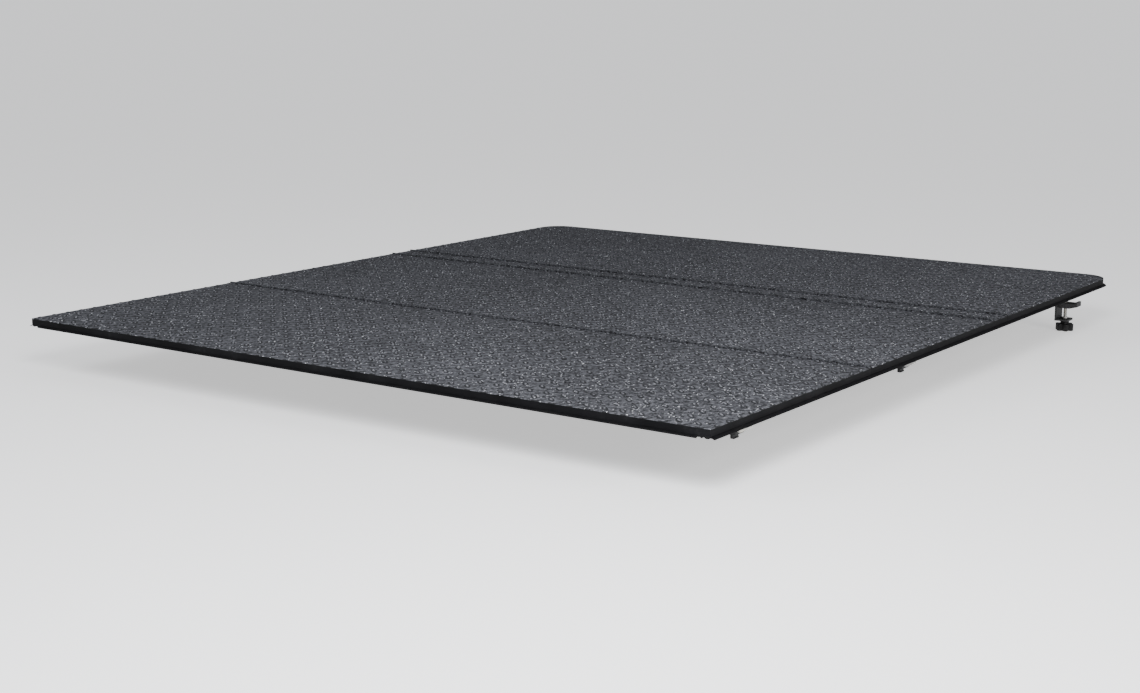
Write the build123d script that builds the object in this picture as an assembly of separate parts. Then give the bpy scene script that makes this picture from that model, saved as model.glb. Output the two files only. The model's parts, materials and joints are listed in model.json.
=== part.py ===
from build123d import *
import os

# Hard folding cover for a pickup bed: three framed panels and a hinge strip.
# Frame: +X to the right, +Y forward to the cab, +Z up, in millimetres.
# z = 0 is the top of the bed rails, and the origin is the middle of the front seal's underside.

# Driving dimensions
WIDTH = 1632.0
LENGTH = 1840.0
FRONT_Y = 8.0
REAR_PANEL = 559.0
STRIP_START = 1128.0
STRIP_END = 1199.0
SEAL_H = 3.0
FRAME_H = 12.8
SKIN_T = 1.2
FRONT_CORNER_R = 60.0

# Frame extrusions
FRAME_W = 25.0
WALL = 1.6
LEDGE = 12.0
LEDGE_T = 1.2
LINER_T = 0.8
BOSS = 8.0
HINGE_BOX = 18.9
PLATE_T = 2.8
SEAM_HALF = 0.3
TENON_FIT = 0.4
TENON_L = 25.0
KEY_ARM = 60.0
END_CAP_T = 1.5
END_CAP_FIT = 0.2
END_CAP_PLUG = 8.0

# Continuous hinges
AXIS_ABOVE_TOP = 1.2
BARREL_R = 2.2
RELIEF_R = 2.5
PIN_R = 1.0
PRESSED_BORE_R = 1.02
RUNNING_BORE_R = 1.06
KNUCKLES = 25
KNUCKLE_GAP = 0.3
HINGE_HALF = 814.0
PIN_HEAD_R = 1.7
PIN_HEAD_T = 0.8
NECK_DEPTH = 1.5

# Seals
SEAL_IN = 23.0
SEAL_LIP = 7.0
TAIL_LIP = 5.0
LIP_TIP_H = 0.4
LIP_SHOULDER_H = 0.9
LIP_SHOULDER_IN = 0.6

# Core
CELL_PITCH = 80.0
RIB_T = 2.0

# Screws
SCREW_R = 1.95
SCREW_HOLE_R = 2.0
HEAD_R = 3.6
HEAD_H = 1.65
CROSS_L = 4.0
CROSS_W = 0.8
CROSS_DEPTH = 1.0
FRAME_SCREW_L = 21.0
EAR_SCREW_L = 3.9

# Trigger latches, drawn for the right-hand side with the latch's middle at y = 0
LATCH_BACK_X = 705.0
LATCH_FACE_X = 758.0
LATCH_HALF_W = 16.0
LATCH_BOTTOM = -38.0
LATCH_WALL = 2.5
LATCH_BACK_WALL = 3.0
LATCH_CORNER_R = 3.0
LATCH_ROOF_Z = -2.0
FLOOR_SLOT_X = (716.0, 753.0)
FLOOR_SLOT_HALF_W = 10.5
EAR_START_X = 712.0
EAR_END_X = 790.0
EAR_HALF_W = 22.0
EAR_LOW = 0.2
EAR_CORNER_R = 4.0
EAR_SCREW_X = 785.0
EAR_SCREW_Y = 15.0
PIVOT_X = 748.0
PIVOT_Z = -8.0
TRUNNION_R = 2.5
TURNING_FIT = 0.05
BOLT_MID_Z = -29.0
BOLT_HALF_H = 5.0
BOLT_HALF_W = 9.0
BOLT_TIP_X = 776.0
BOLT_BEVEL_X = 764.0
BOLT_NOSE_H = 3.0
BOLT_BLOCK_X = 756.0
BOLT_TAIL_X = 734.0
BOLT_TAIL_HALF_H = 1.5
BOLT_WINDOW_X = (744.0, 752.5)
BOLT_WINDOW_HALF_W = 5.5
SPIGOT_R = 2.8
SPIGOT_L = 6.0
FIT = 0.1
SPRING_R = 4.0
SPRING_WIRE_R = 0.5
SPRING_TURNS = 8
SPRING_END_FIT = 0.1
TRIGGER_LOW = -47.0
TRIGGER_HUB_R = 4.5
TRIGGER_STEM = 4.0
TRIGGER_STEM_HALF_W = 5.0
PADDLE_H = 9.0
PADDLE_T = 6.0
PADDLE_HALF_W = 10.0
PADDLE_CORNER_R = 2.5
FINGER_R = 4.0
FINGER_OUT = 5.4
FINGER_UP = 4.0

# Front clamps, drawn for the right-hand side with the clamp's middle at y = 0
CLAMP_SCREW_X = 756.0
CLAMP_SCREW_R = 4.0
CLAMP_SCREW_L = 76.6
CLAMP_BORE_R = 4.06
COLLAR_R = 7.0
COLLAR_H = 4.0
CLAMP_ARM_Z = -76.0
CLAMP_WEB_X = 738.0
CLAMP_ARM_END_X = 770.0
CLAMP_PLATE = 4.0
CLAMP_HALF_W = 20.0
CLAMP_CORNER_R = 8.0
GUSSET_X = 716.0
GUSSET_Z = -34.0
GUSSET_T = 3.0
GUSSET_Y = (-15.0, 12.0)
KNOB_TOP = -78.0
KNOB_H = 22.0
KNOB_R = 15.0
KNOB_HUB_R = 10.0
KNOB_HUB_H = 6.0
KNOB_FLOOR = 4.0
KNOB_FIT = 0.02
KNOB_CHAMFER = 1.2
LOBE_R = 6.0
LOBE_BLEND_R = 2.5
LOBES = 6
JAW_HALF_W = 14.0
JAW_LOW = -46.0
JAW_TOP = -34.0
JAW_OUTLINE = (
    (744.0, JAW_LOW), (770.0, JAW_LOW), (788.0, -41.0), (788.0, -30.0),
    (783.0, -30.0), (781.0, JAW_TOP), (744.0, JAW_TOP),
)

LATCH_ROWS = {"rear": -1640.0, "middle": -1000.0}
CLAMP_Y = -120.0

# Worked out from the above
HALF = WIDTH / 2
REAR_Y = FRONT_Y - LENGTH
Z_LOW = SEAL_H
Z_FRAME = SEAL_H + FRAME_H
Z_TOP = Z_FRAME + SKIN_T
AXIS_Z = Z_TOP + AXIS_ABOVE_TOP
SEAM_REAR = REAR_Y + REAR_PANEL
SEAM_STRIP_REAR = REAR_Y + STRIP_START
SEAM_STRIP_FRONT = REAR_Y + STRIP_END
PLATE_BACK = SEAM_HALF + PLATE_T
HINGE_DEPTH = PLATE_BACK + HINGE_BOX
INNER_X = HALF - FRAME_W
BOSS_X = HALF - WALL - BOSS / 2
BOSS_Z = Z_LOW + FRAME_H / 2
Z_LINER = Z_LOW + LEDGE_T
Z_CORE = Z_LINER + LINER_T
CORNER_X = HALF - FRONT_CORNER_R
CORNER_Y = FRONT_Y - FRONT_CORNER_R
TENON_Z = (Z_LOW + WALL + TENON_FIT, Z_FRAME - WALL - TENON_FIT)
TENON_OUT = WALL + BOSS + TENON_FIT
TENON_IN = FRAME_W - WALL - TENON_FIT
KNOB_LOW = KNOB_TOP - KNOB_H
KNUCKLE_PITCH = 2 * HINGE_HALF / KNUCKLES

nodes = {}


def block(x0, x1, y0, y1, z0, z1):
    """A block between two opposite corners."""
    middle = Pos((x0 + x1) / 2, (y0 + y1) / 2, (z0 + z1) / 2)
    return middle * Box(abs(x1 - x0), abs(y1 - y0), abs(z1 - z0))


def bar_y(points, y0, y1):
    """A bar along Y from a section of (x, z) points."""
    section = make_face(Polyline(*[(x, y0, z) for x, z in points], close=True))
    return extrude(section, amount=y1 - y0, dir=(0, 1, 0))


def bar_x(points, x0, x1):
    """A bar along X from a section of (y, z) points."""
    section = make_face(Polyline(*[(x0, y, z) for y, z in points], close=True))
    return extrude(section, amount=x1 - x0, dir=(1, 0, 0))


def prism(points, z0, z1):
    """A prism from a plan of (x, y) points."""
    section = make_face(Polyline(*[(x, y, z0) for x, y in points], close=True))
    return extrude(section, amount=z1 - z0, dir=(0, 0, 1))


def rod(start, direction, radius, length):
    """A round bar from a start point."""
    plane = Plane(origin=start, z_dir=direction)
    return extrude(plane * Circle(radius), amount=length)


def rod_x(y, z, radius, x0, x1):
    return rod((x0, y, z), (1, 0, 0), radius, x1 - x0)


def both_sides(shape):
    """A right-hand piece and its mirror image, as separate solids."""
    return [shape, mirror(shape, about=Plane.YZ)]


def group(shapes):
    """Separate solids that share one node."""
    return Compound([s for shape in shapes for s in shape.solids()])


def countersunk(point, direction, length):
    """A countersunk screw whose head lies flush at a point and whose shank runs the given way."""
    plane = Plane(origin=point, z_dir=direction)
    head = loft([plane * Circle(HEAD_R), plane.offset(HEAD_H) * Circle(SCREW_R)])
    screw = head + rod(point, direction, SCREW_R, length)
    for width, depth in ((CROSS_L, CROSS_W), (CROSS_W, CROSS_L)):
        screw -= extrude(plane * Rectangle(width, depth), amount=CROSS_DEPTH)
    return screw


def countersink(point, direction, length):
    """The hole that such a screw sits in."""
    margin = SCREW_HOLE_R - SCREW_R
    plane = Plane(origin=point, z_dir=direction)
    rims = [plane * Circle(HEAD_R + margin), plane.offset(HEAD_H) * Circle(SCREW_HOLE_R)]
    return loft(rims) + rod(point, direction, SCREW_HOLE_R, length)


# Frame bars, all of one hollow section with a screw boss against the outer wall


def side_bar(y0, y1, ledge_y0, ledge_y1):
    """The right-hand side rail of a panel."""
    bar = block(INNER_X, HALF, y0, y1, Z_LOW, Z_FRAME)
    bar -= block(INNER_X + WALL, HALF - WALL, y0, y1, Z_LOW + WALL, Z_FRAME - WALL)
    outer = HALF - WALL
    bar += block(outer - BOSS, outer, y0, y1, BOSS_Z - BOSS / 2, BOSS_Z + BOSS / 2)
    bar -= rod((BOSS_X, y0, BOSS_Z), (0, 1, 0), SCREW_HOLE_R, y1 - y0)
    bar += block(INNER_X - LEDGE, INNER_X, ledge_y0, ledge_y1, Z_LOW, Z_LINER)
    return bar


def end_bar(outer_y, inward, half_length, half_ledge):
    """The front or rear rail of a panel; inward is +1 where the panel lies ahead of it."""
    def y(depth):
        return outer_y + inward * depth
    bar = block(-half_length, half_length, y(0), y(FRAME_W), Z_LOW, Z_FRAME)
    chamber = (y(WALL), y(FRAME_W - WALL), Z_LOW + WALL, Z_FRAME - WALL)
    bar -= block(-half_length, half_length, *chamber)
    boss = (y(WALL), y(WALL + BOSS), BOSS_Z - BOSS / 2, BOSS_Z + BOSS / 2)
    bar += block(-half_length, half_length, *boss)
    bar -= rod_x(y(WALL + BOSS / 2), BOSS_Z, SCREW_HOLE_R, -half_length, half_length)
    bar += block(-half_ledge, half_ledge, y(FRAME_W), y(FRAME_W + LEDGE), Z_LOW, Z_LINER)
    return bar


# Continuous hinges


def knuckle_row(seam, side, parity, bore_r):
    """Every second barrel knuckle along a seam, with the neck that joins it to its own plate."""
    row = []
    for i in range(parity, KNUCKLES, 2):
        x0 = -HINGE_HALF + i * KNUCKLE_PITCH + KNUCKLE_GAP / 2
        x1 = x0 + KNUCKLE_PITCH - KNUCKLE_GAP
        near = seam + side * SEAM_HALF
        far = seam + side * PLATE_BACK
        mid = seam + side * BARREL_R
        low = Z_TOP - NECK_DEPTH
        neck = [(near, low), (far, low), (far, Z_TOP), (mid, Z_TOP), (mid, AXIS_Z), (near, AXIS_Z)]
        knuckle = bar_x(neck, x0, x1) + rod_x(seam, AXIS_Z, BARREL_R, x0, x1)
        row.append(knuckle - rod_x(seam, AXIS_Z, bore_r, x0, x1))
    return row


def hinge_plate(seam, side, half_length):
    """The flat plate that faces a seam, hollowed along its top for the other side's knuckles."""
    near = seam + side * SEAM_HALF
    far = seam + side * PLATE_BACK
    plate = block(-half_length, half_length, near, far, Z_LOW, Z_TOP)
    return plate - rod_x(seam, AXIS_Z, RELIEF_R, -half_length - 1, half_length + 1)


def hinge_screw_points(seam, side):
    """Where screws pass through a hinge plate into the side rails' bosses."""
    near = seam + side * SEAM_HALF
    return [((x, near, BOSS_Z), (0, side, 0)) for x in (-BOSS_X, BOSS_X)]


def hinge_bar(seam, side, parity, bore_r):
    """A panel's hinge rail: plate, knuckles, a hollow box between the side rails, and a ledge."""
    def y(depth):
        return seam + side * depth
    rail = hinge_plate(seam, side, HALF)
    box_out = block(-INNER_X, INNER_X, y(PLATE_BACK), y(HINGE_DEPTH), Z_LOW, Z_FRAME)
    chamber = (y(PLATE_BACK), y(HINGE_DEPTH - WALL), Z_LOW + WALL, Z_FRAME - WALL)
    rail += box_out - block(-INNER_X, INNER_X, *chamber)
    shelf = INNER_X - LEDGE
    rail += block(-shelf, shelf, y(HINGE_DEPTH), y(HINGE_DEPTH + LEDGE), Z_LOW, Z_LINER)
    for point, way in hinge_screw_points(seam, side):
        rail -= countersink(point, way, PLATE_T + 1)
    rail += knuckle_row(seam, side, parity, bore_r)
    return rail


def hinge_pin(seam):
    """A pin the width of the cover, peened over at both ends."""
    pin = rod_x(seam, AXIS_Z, PIN_R, -HINGE_HALF, HINGE_HALF)
    for x in (-HINGE_HALF - PIN_HEAD_T, HINGE_HALF):
        pin += rod_x(seam, AXIS_Z, PIN_HEAD_R, x, x + PIN_HEAD_T)
    return pin


# Sandwich panels: skin over a ribbed core over a liner


def rounded_plan(half_width, y0, y1, corner_r):
    """A plan outline from y0 to y1, with its two front corners rounded where corner_r is given."""
    plan = Pos(0, (y0 + y1) / 2) * Rectangle(2 * half_width, y1 - y0)
    if corner_r:
        plan = fillet(plan.vertices().group_by(Axis.Y)[-1], corner_r)
    return plan


def slab(half_width, y0, y1, z0, z1, corner_r=0):
    return extrude(Pos(0, 0, z0) * rounded_plan(half_width, y0, y1, corner_r), amount=z1 - z0)


def ribbed_core(y0, y1, corner_r=0):
    """An egg-crate core: a rim and crossing ribs, open cell by cell under the skin."""
    plan = rounded_plan(INNER_X, y0, y1, corner_r)
    across = round(2 * INNER_X / CELL_PITCH)
    along = round((y1 - y0) / CELL_PITCH)
    cell_x = (2 * INNER_X - RIB_T) / across
    cell_y = (y1 - y0 - RIB_T) / along
    middle = Pos(0, (y0 + y1) / 2)
    cells = [
        middle * spot * Rectangle(cell_x - RIB_T, cell_y - RIB_T)
        for spot in GridLocations(cell_x, cell_y, across, along)
    ]
    if corner_r:
        inner = offset(plan, amount=-RIB_T)
        cells = [cell & inner for cell in cells]
    return extrude(Pos(0, 0, Z_CORE) * (plan - cells), amount=Z_FRAME - Z_CORE)


def sandwich(name, skin_y, core_y, corner=False):
    """The three layers of one panel."""
    skin_r = FRONT_CORNER_R if corner else 0
    core_r = FRONT_CORNER_R - FRAME_W if corner else 0
    nodes[name + "_skin"] = slab(HALF, *skin_y, Z_FRAME, Z_TOP, skin_r)
    nodes[name + "_core"] = ribbed_core(*core_y, core_r)
    nodes[name + "_liner"] = slab(INNER_X, *core_y, Z_LINER, Z_CORE, core_r)


# Seals: a flat foot under the frame with a lip that flares outboard


def seal_section(outer, outward, lip):
    """Points across a seal, from its inner edge to the tip of its lip."""
    inner = outer - outward * SEAL_IN
    tip = outer + outward * lip
    shoulder = outer + outward * (lip - LIP_SHOULDER_IN)
    foot = [(tip, 0), (inner, 0), (inner, SEAL_H), (outer, SEAL_H)]
    return foot + [(shoulder, LIP_SHOULDER_H), (tip, LIP_TIP_H)]


def side_seal(y0, y1):
    return bar_y(seal_section(HALF, 1, SEAL_LIP), y0, y1)


def corner_turn(section_points):
    """A quarter turn of a section about the front right corner's centre."""
    axis = Axis((CORNER_X, CORNER_Y, 0), (0, 0, 1))
    line = Polyline(*[(x, CORNER_Y, z) for x, z in section_points], close=True)
    return revolve(make_face(line), axis=axis, revolution_arc=90)


def rectangle_points(x0, x1, z0, z1):
    return [(x0, z0), (x1, z0), (x1, z1), (x0, z1)]


# Panels


def make_front_panel():
    seam = SEAM_STRIP_FRONT
    bar_end = FRONT_Y - FRAME_W
    sandwich("front", (seam + PLATE_BACK, FRONT_Y), (seam + HINGE_DEPTH, bar_end), True)
    nodes["front_hinge_frame"] = hinge_bar(seam, 1, 0, PRESSED_BORE_R)
    side = side_bar(seam + PLATE_BACK, CORNER_Y, seam + HINGE_DEPTH, CORNER_Y)
    nodes["front_side_frames"] = group(both_sides(side))
    nodes["bulkhead_frame"] = end_bar(FRONT_Y, -1, CORNER_X, CORNER_X)

    corner = corner_turn(rectangle_points(INNER_X, HALF, Z_LOW, Z_FRAME))
    corner += corner_turn(rectangle_points(INNER_X - LEDGE, INNER_X, Z_LOW, Z_LINER))
    tenon_x = (HALF - TENON_IN, HALF - TENON_OUT)
    tenon_y = (FRONT_Y - TENON_IN, FRONT_Y - TENON_OUT)
    corner += block(*tenon_x, CORNER_Y - TENON_L, CORNER_Y, *TENON_Z)
    corner += block(CORNER_X - TENON_L, CORNER_X, *tenon_y, *TENON_Z)
    nodes["front_corners"] = group(both_sides(corner))

    foot = seal_section(HALF, 1, SEAL_LIP)
    seal = side_seal(seam + SEAM_HALF, CORNER_Y) + corner_turn(foot)
    nodes["front_side_seals"] = group(both_sides(seal))
    nodes["bulkhead_seal"] = bar_x(seal_section(FRONT_Y, 1, SEAL_LIP), -CORNER_X, CORNER_X)
    nodes["front_screws"] = group(
        [countersunk(p, way, FRAME_SCREW_L) for p, way in hinge_screw_points(seam, 1)]
        + ear_screws(CLAMP_Y)
    )
    nodes["front_hinge_pin"] = hinge_pin(seam)


def make_strip():
    back, front = SEAM_STRIP_REAR, SEAM_STRIP_FRONT
    half = HALF - END_CAP_T
    y0, y1 = back + PLATE_BACK, front - PLATE_BACK
    frame = hinge_plate(back, 1, half) + hinge_plate(front, -1, half)
    frame += block(-half, half, y0, y1, Z_LOW, Z_FRAME)
    middle = (y0 + y1) / 2
    chamber_z = (Z_LOW + WALL, Z_FRAME - WALL)
    chambers = ((y0, middle - WALL / 2), (middle + WALL / 2, y1))
    for chamber in chambers:
        frame -= block(-half, half, *chamber, *chamber_z)
    frame += knuckle_row(back, 1, 0, PRESSED_BORE_R)
    frame += knuckle_row(front, -1, 1, RUNNING_BORE_R)
    nodes["strip_frame"] = frame

    cap = block(half, HALF, back + SEAM_HALF, front - SEAM_HALF, Z_LOW, Z_FRAME)
    plug_z = (chamber_z[0] + END_CAP_FIT, chamber_z[1] - END_CAP_FIT)
    for a, b in chambers:
        cap += block(half - END_CAP_PLUG, half, a + END_CAP_FIT, b - END_CAP_FIT, *plug_z)
    nodes["strip_end_caps"] = group(both_sides(cap))
    nodes["strip_skin"] = slab(HALF, y0, y1, Z_FRAME, Z_TOP)
    seal = side_seal(back + SEAM_HALF, front - SEAM_HALF)
    nodes["strip_seals"] = group(both_sides(seal))
    nodes["strip_hinge_pin"] = hinge_pin(back)


def make_middle_panel():
    back, front = SEAM_REAR, SEAM_STRIP_REAR
    skin_y = (back + PLATE_BACK, front - PLATE_BACK)
    core_y = (back + HINGE_DEPTH, front - HINGE_DEPTH)
    sandwich("middle", skin_y, core_y)
    nodes["middle_hinge_frame_front"] = hinge_bar(front, -1, 1, RUNNING_BORE_R)
    nodes["middle_hinge_frame_rear"] = hinge_bar(back, 1, 0, PRESSED_BORE_R)
    nodes["middle_side_frames"] = group(both_sides(side_bar(*skin_y, *core_y)))
    seal = side_seal(back + SEAM_HALF, front - SEAM_HALF)
    nodes["middle_side_seals"] = group(both_sides(seal))
    points = hinge_screw_points(back, 1) + hinge_screw_points(front, -1)
    nodes["middle_screws"] = group(
        [countersunk(p, way, FRAME_SCREW_L) for p, way in points] + ear_screws(LATCH_ROWS["middle"])
    )
    nodes["rear_hinge_pin"] = hinge_pin(back)


def make_rear_panel():
    seam = SEAM_REAR
    bar_end = REAR_Y + FRAME_W
    core_y = (bar_end, seam - HINGE_DEPTH)
    sandwich("rear", (REAR_Y, seam - PLATE_BACK), core_y)
    nodes["rear_hinge_frame"] = hinge_bar(seam, -1, 1, RUNNING_BORE_R)

    tall = (Z_LOW - 1, Z_FRAME + 1)
    side = side_bar(REAR_Y, seam - PLATE_BACK, *core_y)
    side -= prism([(HALF, REAR_Y), (INNER_X, REAR_Y), (INNER_X, bar_end)], *tall)
    nodes["rear_side_frames"] = group(both_sides(side))
    tail = end_bar(REAR_Y, 1, HALF, INNER_X - LEDGE)
    for mitre in both_sides(prism([(HALF, REAR_Y), (HALF, bar_end), (INNER_X, bar_end)], *tall)):
        tail -= mitre
    nodes["tailgate_frame"] = tail

    key_x = HALF - TENON_OUT
    key_y = REAR_Y + TENON_OUT
    key = block(HALF - TENON_IN, key_x, key_y, REAR_Y + TENON_IN + KEY_ARM, *TENON_Z)
    key += block(HALF - TENON_IN - KEY_ARM, key_x, key_y, REAR_Y + TENON_IN, *TENON_Z)
    nodes["rear_corner_keys"] = group(both_sides(key))

    nodes["rear_side_seals"] = group(both_sides(side_seal(REAR_Y, seam - SEAM_HALF)))
    tail_section = seal_section(REAR_Y, -1, TAIL_LIP)
    half_tail = HALF - SEAL_IN
    nodes["tailgate_seal"] = bar_x(tail_section, -half_tail, half_tail)
    nodes["rear_screws"] = group(
        [countersunk(p, way, FRAME_SCREW_L) for p, way in hinge_screw_points(seam, -1)]
        + ear_screws(LATCH_ROWS["rear"])
    )


# Hardware under the panels


def ear_points(y0):
    """Where a right-hand bracket is screwed up into the side rail's ledge."""
    return [(EAR_SCREW_X, y0 + dy, EAR_LOW) for dy in (-EAR_SCREW_Y, EAR_SCREW_Y)]


def ear_screws(y0):
    """The four screws that hold a left and a right bracket."""
    right = [countersunk(p, (0, 0, 1), EAR_SCREW_L) for p in ear_points(y0)]
    return [screw for shape in right for screw in both_sides(shape)]


def drill_ledge(frame_node, y0):
    """Clear holes in both side rails' ledges for a pair of brackets."""
    frame = nodes[frame_node]
    drills = []
    for x, y, _ in ear_points(y0):
        drills += both_sides(rod((x, y, Z_LOW), (0, 0, 1), SCREW_HOLE_R, LEDGE_T))
    solids = []
    for solid in frame.solids():
        for drill in drills:
            solid = solid - drill
        solids.append(solid)
    nodes[frame_node] = group(solids)


def bracket_ear():
    """The flat plate, under the side rail's ledge, that a latch or a clamp hangs from."""
    ear = block(EAR_START_X, EAR_END_X, -EAR_HALF_W, EAR_HALF_W, EAR_LOW, Z_LOW)
    ear = fillet(ear.edges().filter_by(Axis.Z), EAR_CORNER_R)
    for point in ear_points(0):
        ear -= countersink(point, (0, 0, 1), Z_LOW)
    return ear


def latch_housing():
    """A box open below for the trigger and outboard for the bolt."""
    half = LATCH_HALF_W
    inside = half - LATCH_WALL
    floor = LATCH_BOTTOM + LATCH_WALL
    shell = block(LATCH_BACK_X, LATCH_FACE_X, -half, half, LATCH_BOTTOM, EAR_LOW)
    shell = fillet(shell.edges().filter_by(Axis.Z), LATCH_CORNER_R)
    cavity_x = (LATCH_BACK_X + LATCH_BACK_WALL, LATCH_FACE_X - LATCH_WALL)
    shell -= block(*cavity_x, -inside, inside, floor, LATCH_ROOF_Z)
    slot_y = (-FLOOR_SLOT_HALF_W, FLOOR_SLOT_HALF_W)
    shell -= block(*FLOOR_SLOT_X, *slot_y, LATCH_BOTTOM, floor)
    window_y = (-BOLT_HALF_W - FIT, BOLT_HALF_W + FIT)
    window_z = (BOLT_MID_Z - BOLT_HALF_H - FIT, BOLT_MID_Z + BOLT_HALF_H + FIT)
    shell -= block(cavity_x[1], LATCH_FACE_X, *window_y, *window_z)
    shell -= rod((PIVOT_X, -half, PIVOT_Z), (0, 1, 0), TRUNNION_R + TURNING_FIT, 2 * half)
    return shell + bracket_ear()


def latch_bolt():
    """The spring bolt: a bevelled head, a thin tail with a window for the trigger, and a spigot."""
    low = BOLT_MID_Z - BOLT_HALF_H
    high = BOLT_MID_Z + BOLT_HALF_H
    bevel = [(BOLT_BEVEL_X, low), (BOLT_TIP_X, high - BOLT_NOSE_H), (BOLT_TIP_X, high)]
    head = [(BOLT_BLOCK_X, low)] + bevel + [(BOLT_BLOCK_X, high)]
    bolt = bar_y(head, -BOLT_HALF_W, BOLT_HALF_W)
    tail_z = (BOLT_MID_Z - BOLT_TAIL_HALF_H, BOLT_MID_Z + BOLT_TAIL_HALF_H)
    bolt += block(BOLT_TAIL_X, BOLT_BLOCK_X, -BOLT_HALF_W, BOLT_HALF_W, *tail_z)
    bolt -= block(*BOLT_WINDOW_X, -BOLT_WINDOW_HALF_W, BOLT_WINDOW_HALF_W, *tail_z)
    bolt += rod_x(0, BOLT_MID_Z, SPIGOT_R, BOLT_TAIL_X - SPIGOT_L, BOLT_TAIL_X)
    return bolt


def latch_trigger():
    """A finger lever on moulded trunnions, hanging through the bolt's window."""
    stem_y = (-TRIGGER_STEM_HALF_W, TRIGGER_STEM_HALF_W)
    stem_x = (PIVOT_X - TRIGGER_STEM / 2, PIVOT_X + TRIGGER_STEM / 2)
    paddle_x = (PIVOT_X - PADDLE_T / 2, PIVOT_X + PADDLE_T / 2)
    paddle_top = TRIGGER_LOW + PADDLE_H
    hub = (PIVOT_X, -TRIGGER_STEM_HALF_W, PIVOT_Z)
    lever = rod(hub, (0, 1, 0), TRIGGER_HUB_R, 2 * TRIGGER_STEM_HALF_W)
    lever += block(*stem_x, *stem_y, paddle_top, PIVOT_Z)
    paddle = block(*paddle_x, -PADDLE_HALF_W, PADDLE_HALF_W, TRIGGER_LOW, paddle_top)
    paddle = fillet(paddle.edges().filter_by(Axis.X), PADDLE_CORNER_R)
    finger = (PIVOT_X + FINGER_OUT, -PADDLE_HALF_W, TRIGGER_LOW + FINGER_UP)
    lever += paddle - rod(finger, (0, 1, 0), FINGER_R, 2 * PADDLE_HALF_W)
    lever += rod((PIVOT_X, -LATCH_HALF_W, PIVOT_Z), (0, 1, 0), TRUNNION_R, 2 * LATCH_HALF_W)
    return lever


def latch_spring():
    """The coil that pushes the bolt out."""
    margin = SPRING_WIRE_R + SPRING_END_FIT
    start = LATCH_BACK_X + LATCH_BACK_WALL + margin
    length = BOLT_TAIL_X - margin - start
    path = Helix(length / SPRING_TURNS, length, SPRING_R, (start, 0, BOLT_MID_Z), (1, 0, 0))
    wire = Plane(origin=path @ 0, z_dir=path % 0) * Circle(SPRING_WIRE_R)
    return sweep(wire, path=path, is_frenet=True)


def make_latches():
    pieces = {
        "housing": latch_housing(),
        "bolt": latch_bolt(),
        "trigger": latch_trigger(),
        "spring": latch_spring(),
    }
    for panel, y0 in LATCH_ROWS.items():
        drill_ledge(panel + "_side_frames", y0)
        for piece, shape in pieces.items():
            right, left = both_sides(shape)
            nodes[f"{panel}_latch_{piece}_right"] = Pos(0, y0, 0) * right
            nodes[f"{panel}_latch_{piece}_left"] = Pos(0, y0, 0) * left


def bend_gussets():
    """Two ribs that stiffen the bend between the ear and the web."""
    rib = [(CLAMP_WEB_X, EAR_LOW), (GUSSET_X, EAR_LOW), (CLAMP_WEB_X, GUSSET_Z)]
    return [bar_y(rib, y, y + GUSSET_T) for y in GUSSET_Y]


def clamp_bracket():
    """A plate bent down from the ear, and out again to carry the screw."""
    half = CLAMP_HALF_W
    arm_x = CLAMP_WEB_X + CLAMP_PLATE
    web = block(CLAMP_WEB_X, arm_x, -half, half, CLAMP_ARM_Z, EAR_LOW)
    arm = block(arm_x, CLAMP_ARM_END_X, -half, half, CLAMP_ARM_Z, CLAMP_ARM_Z + CLAMP_PLATE)
    arm = fillet(arm.edges().filter_by(Axis.Z).group_by(Axis.X)[-1], CLAMP_CORNER_R)
    bracket = bracket_ear() + web + arm + bend_gussets()
    base = (CLAMP_SCREW_X, 0, CLAMP_ARM_Z)
    return bracket - rod(base, (0, 0, 1), CLAMP_SCREW_R + TURNING_FIT, Z_LOW - CLAMP_ARM_Z)


def clamp_screw():
    """The spindle, with a collar that rests on the bracket's arm."""
    screw = rod((CLAMP_SCREW_X, 0, KNOB_LOW + KNOB_FLOOR), (0, 0, 1), CLAMP_SCREW_R, CLAMP_SCREW_L)
    collar_z = CLAMP_ARM_Z + CLAMP_PLATE
    return screw + rod((CLAMP_SCREW_X, 0, collar_z), (0, 0, 1), COLLAR_R, COLLAR_H)


def clamp_knob():
    """A lobed hand knob on the lower end of the screw."""
    plan = Circle(KNOB_R)
    for spot in PolarLocations(KNOB_R, LOBES):
        plan += spot * Circle(LOBE_R)
    plan = fillet(plan.vertices(), LOBE_BLEND_R)
    knob = extrude(plan, amount=KNOB_H - KNOB_HUB_H)
    knob = chamfer(knob.faces().sort_by(Axis.Z)[0].edges(), KNOB_CHAMFER)
    knob = Pos(CLAMP_SCREW_X, 0, KNOB_LOW) * knob
    knob += rod((CLAMP_SCREW_X, 0, KNOB_LOW), (0, 0, 1), KNOB_HUB_R, KNOB_H)
    floor = (CLAMP_SCREW_X, 0, KNOB_LOW + KNOB_FLOOR)
    return knob - rod(floor, (0, 0, 1), CLAMP_SCREW_R + KNOB_FIT, KNOB_H)


def clamp_jaw():
    """The hooked nut that the screw draws up under the bed's flange."""
    jaw = bar_y(JAW_OUTLINE, -JAW_HALF_W, JAW_HALF_W)
    return jaw - rod((CLAMP_SCREW_X, 0, JAW_LOW), (0, 0, 1), CLAMP_BORE_R, JAW_TOP - JAW_LOW)


def make_clamps():
    drill_ledge("front_side_frames", CLAMP_Y)
    pieces = {
        "bracket": clamp_bracket(),
        "screw": clamp_screw(),
        "knob": clamp_knob(),
        "jaw": clamp_jaw(),
    }
    for piece, shape in pieces.items():
        right, left = both_sides(shape)
        nodes[f"clamp_{piece}_right"] = Pos(0, CLAMP_Y, 0) * right
        nodes[f"clamp_{piece}_left"] = Pos(0, CLAMP_Y, 0) * left


make_front_panel()
make_strip()
make_middle_panel()
make_rear_panel()
make_latches()
make_clamps()

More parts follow.
